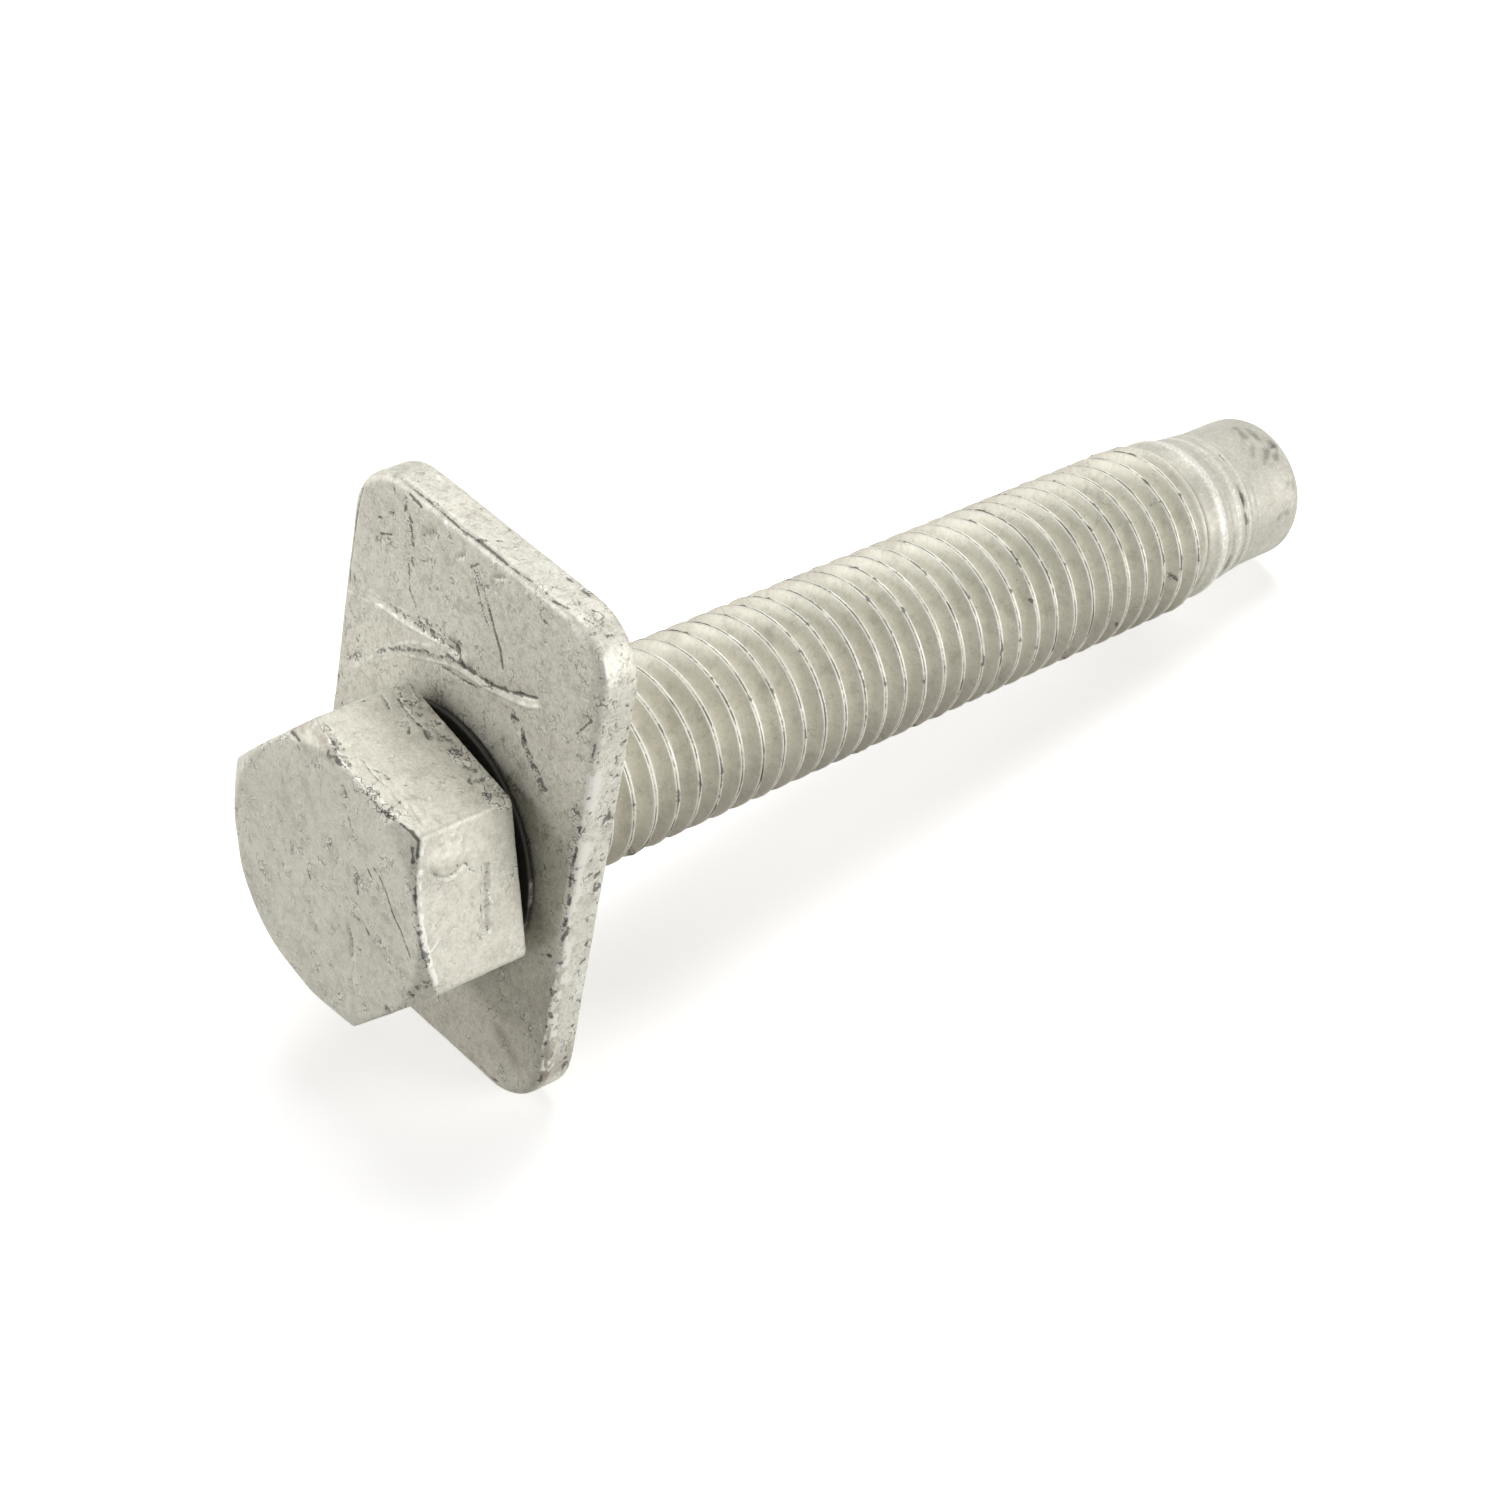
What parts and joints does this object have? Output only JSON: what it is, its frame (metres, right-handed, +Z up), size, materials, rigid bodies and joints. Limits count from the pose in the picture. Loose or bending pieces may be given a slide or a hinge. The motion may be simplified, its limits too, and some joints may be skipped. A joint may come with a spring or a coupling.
{
  "type": "hex bolt with plate washer",
  "caption": "Hexagon bolt with a full thread, a captive rectangular plate washer under the head and a plain pilot point, lying at rest.",
  "frame": {"origin": "on the ground, under the middle of the bounding box", "axes": "+X from the head towards the point, +Z up; the bolt's axis slopes down towards the point by 8.1 degrees, because it rests on the plate's edge and on the point"},
  "size_m": [0.0824, 0.022, 0.0349],
  "materials": {
    "bolt_coating": "silver-grey zinc flake coating, worn",
    "plate_coating": "silver-grey zinc flake coating, scuffed"
  },
  "bodies": {
    "bolt": {"bolt": "bolt_coating"},
    "plate": {"plate_washer": "plate_coating"}
  },
  "joints": [
    {"name": "plate_spin", "type": "hinge", "parent": "bolt", "child": "plate", "pos_m": [-0.03022, 0, 0.01474], "axis": [0.9902, 0, -0.1398], "continuous": true}
  ]
}
